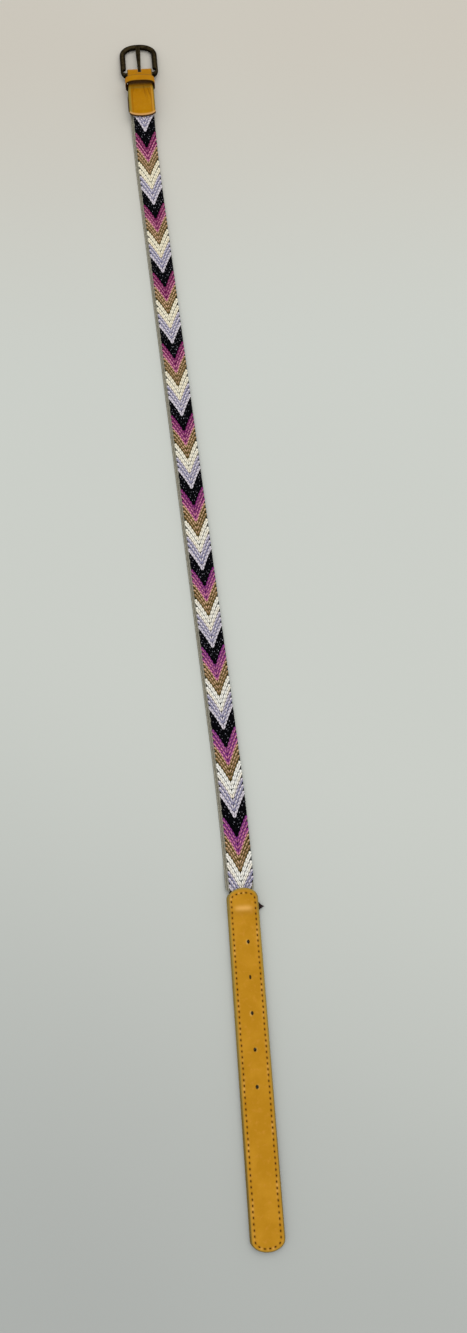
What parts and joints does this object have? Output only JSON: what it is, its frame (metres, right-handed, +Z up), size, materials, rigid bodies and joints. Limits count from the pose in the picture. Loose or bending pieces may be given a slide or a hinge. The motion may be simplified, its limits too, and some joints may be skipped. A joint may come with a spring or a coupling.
{
  "type": "woven belt with leather ends",
  "caption": "Narrow belt: a chevron-woven band on a thin backing, with stitched tan leather ends, a bowed keeper loop and a dark single-prong buckle.",
  "frame": {"origin": "on the surface that the belt lies on, under the middle of its bounding box", "axes": "+Y from the tip towards the buckle, +X across the strap to the right seen from above, +Z up out of the belt's face"},
  "size_m": [0.0604, 1.0428, 0.0157],
  "materials": {
    "gunmetal": "dark antique, polished bevels",
    "chape_leather": "smooth, deep mustard tan",
    "tip_leather": "smooth mustard tan, stitched",
    "woven_yarn": "chevron weave of cream, lilac, black, purple and brown yarn",
    "backing_suede": "matte grey-beige suede",
    "dark_yarn": "matte dark brown"
  },
  "bodies": {
    "strap": {"chape": "chape_leather", "keeper_loop": "chape_leather", "woven_band": "woven_yarn", "band_backing": "backing_suede", "tip_back": "tip_leather", "tip_front": "tip_leather", "loose_yarn_end": "dark_yarn"},
    "frame": {"buckle_frame": "gunmetal"},
    "prong": {"buckle_prong": "gunmetal"}
  },
  "joints": [
    {"name": "frame_hinge", "type": "hinge", "parent": "strap", "child": "frame", "pos_m": [-0.01281, 0.48465, 0.0046], "axis": [1, 0, 0], "range_deg": [-75, 30]},
    {"name": "prong_hinge", "type": "hinge", "parent": "frame", "child": "prong", "pos_m": [-0.01281, 0.48465, 0.0046], "axis": [1, 0, 0], "range_deg": [0, 50]}
  ]
}
